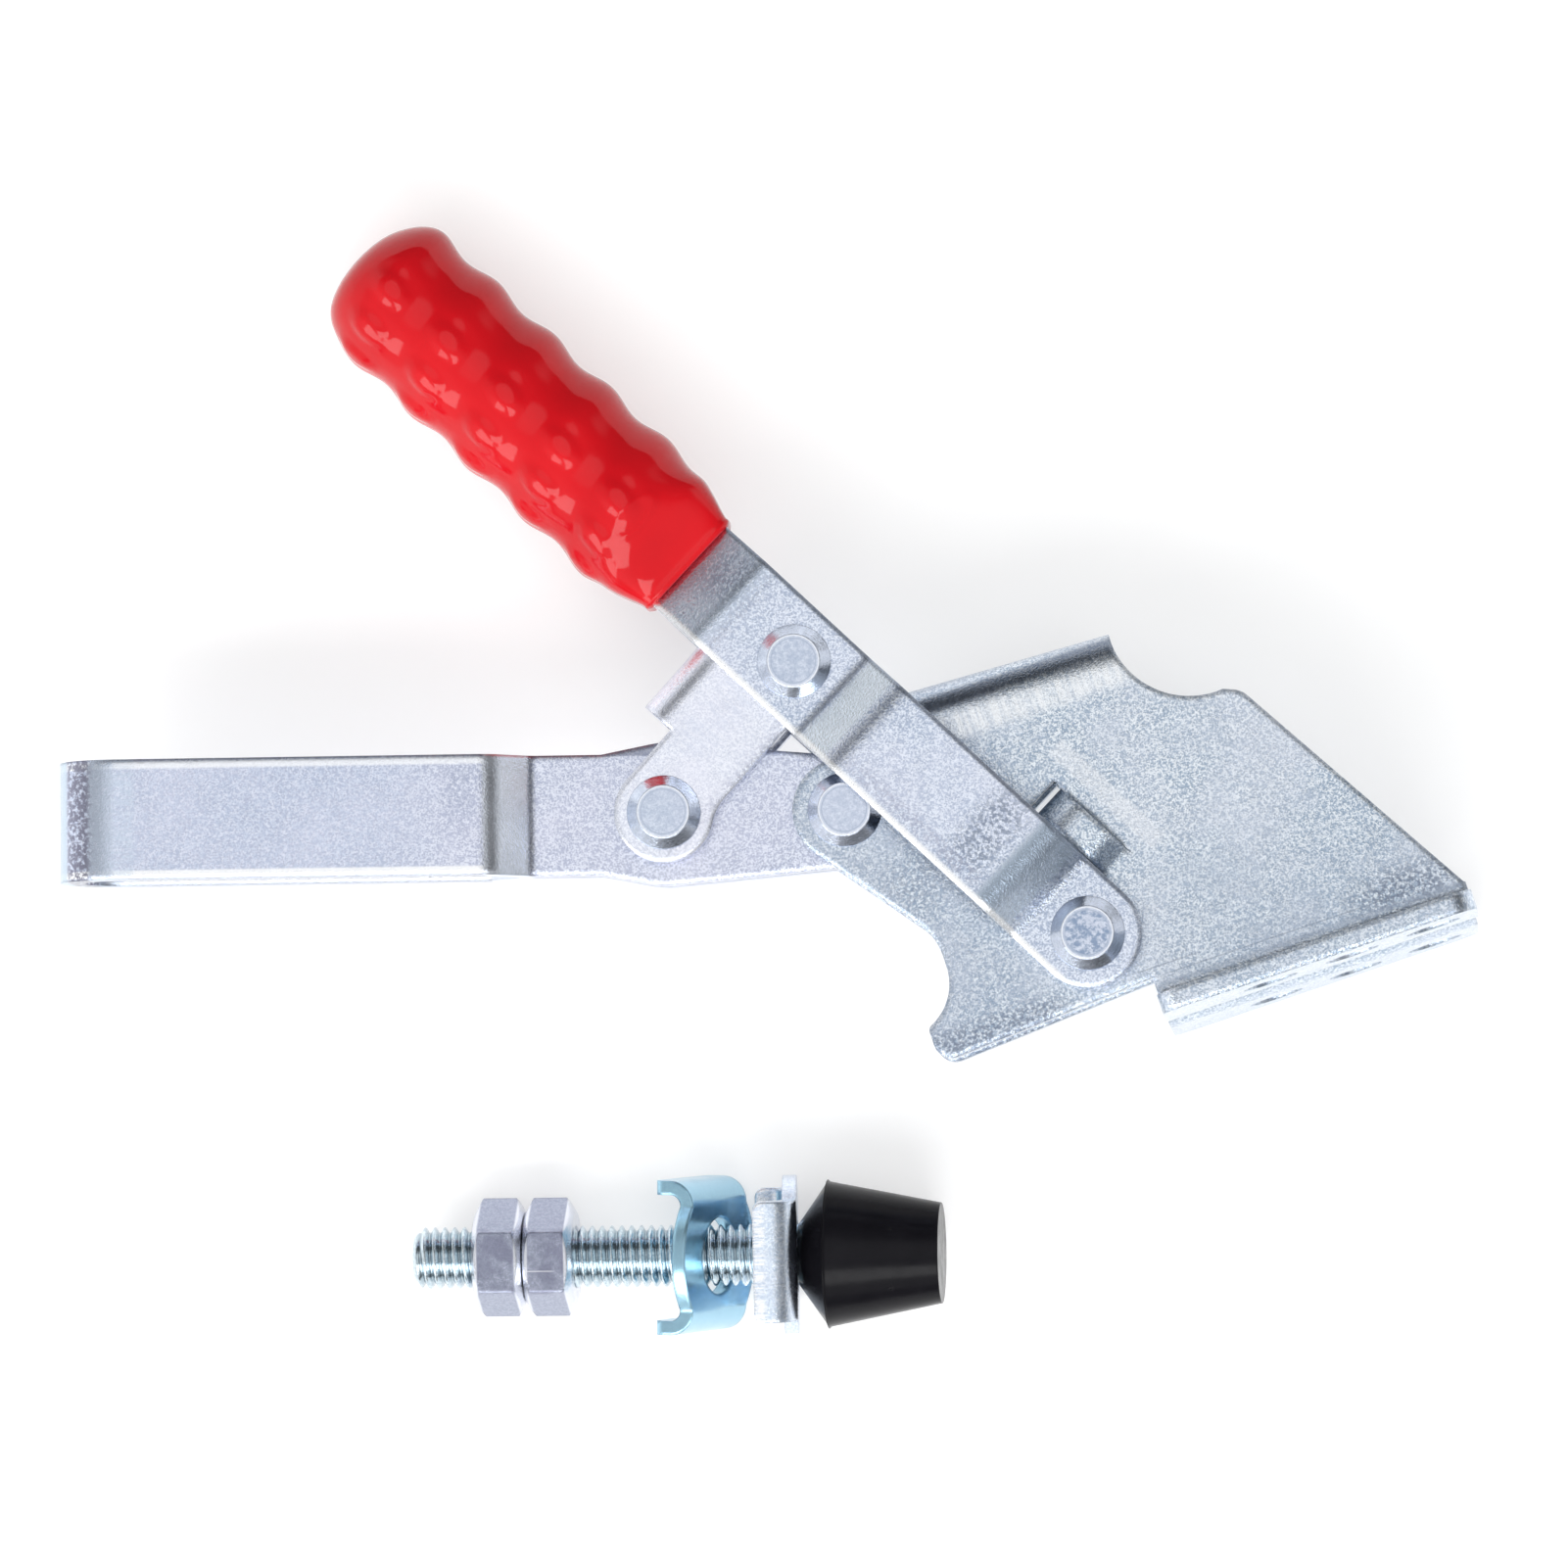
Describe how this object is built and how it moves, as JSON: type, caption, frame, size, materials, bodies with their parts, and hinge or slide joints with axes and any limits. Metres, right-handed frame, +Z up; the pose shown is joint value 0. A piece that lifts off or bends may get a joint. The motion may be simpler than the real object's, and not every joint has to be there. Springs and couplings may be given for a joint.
{
  "type": "toggle clamp",
  "caption": "Riveted sheet-steel toggle clamp with U-bar arm, flanged base and red lever grip, lying open on its side, with its rubber-tipped spindle, nuts and flanged washers beside it.",
  "frame": {"origin": "on the supporting surface, under the centre of the bounding box of the clamp and its loose spindle set", "axes": "+Z up from the surface that the clamp lies on, +X from the U-bar's round end towards the mounting flanges, +Y from the loose spindle set towards the clamp's grip"},
  "size_m": [0.1778, 0.141, 0.0539],
  "materials": {
    "plated_base": "zinc plate, fine sparkling grain",
    "plated_arm": "zinc plate, fine sparkling grain",
    "plated_link": "zinc plate with die marks",
    "plated_strap": "zinc plate, fine sparkling grain",
    "plated_rivet": "zinc plate, bright pressed chamfer",
    "steel_core": "plain steel",
    "red_grip": "glossy soft PVC",
    "plated_thread": "blue zinc plate",
    "plated_nut": "zinc plate, dull",
    "plated_washer": "blue zinc plate",
    "black_rubber": "moulded rubber, satin"
  },
  "bodies": {
    "base": {"base_plate_front": "plated_base", "base_plate_back": "plated_base", "arm_pivot_rivet_front": "plated_rivet", "arm_pivot_rivet_back": "plated_rivet", "handle_pivot_rivet": "plated_rivet", "handle_pivot_bush": "steel_core", "spindle_bolt": "plated_thread", "rubber_tip": "black_rubber", "lock_nut_outer": "plated_nut", "lock_nut_inner": "plated_nut", "flanged_washer_outer": "plated_washer", "flanged_washer_inner": "plated_washer"},
    "arm": {"arm_bar": "plated_arm", "link_arm_rivet": "plated_rivet", "arm_pivot_core": "steel_core"},
    "link": {"link": "plated_link"},
    "handle": {"handle_strap_front": "plated_strap", "handle_strap_back": "plated_strap", "link_pin": "plated_rivet", "handle_grip": "red_grip"}
  },
  "joints": [
    {"name": "handle_pivot", "type": "hinge", "parent": "base", "child": "handle", "pos_m": [0.03976, -0.01917, 0.02519], "axis": [-0.0461, 0.1377, 0.9894], "range_deg": [0, 57.06]},
    {"name": "link_pin_pivot", "type": "hinge", "parent": "handle", "child": "link", "pos_m": [0.00356, 0.01428, 0.01885], "axis": [-0.0461, 0.1377, 0.9894], "range_deg": [0, 88.51]},
    {"name": "link_arm_pivot", "type": "hinge", "parent": "link", "child": "arm", "pos_m": [-0.01285, -0.00409, 0.02064], "axis": [-0.0461, 0.1377, 0.9894], "range_deg": [-40.76, 0]}
  ],
  "couplings": [
    {"joint": "link_pin_pivot", "follows": "handle_pivot", "ratio": 1.551},
    {"joint": "link_arm_pivot", "follows": "handle_pivot", "ratio": -0.71418}
  ]
}
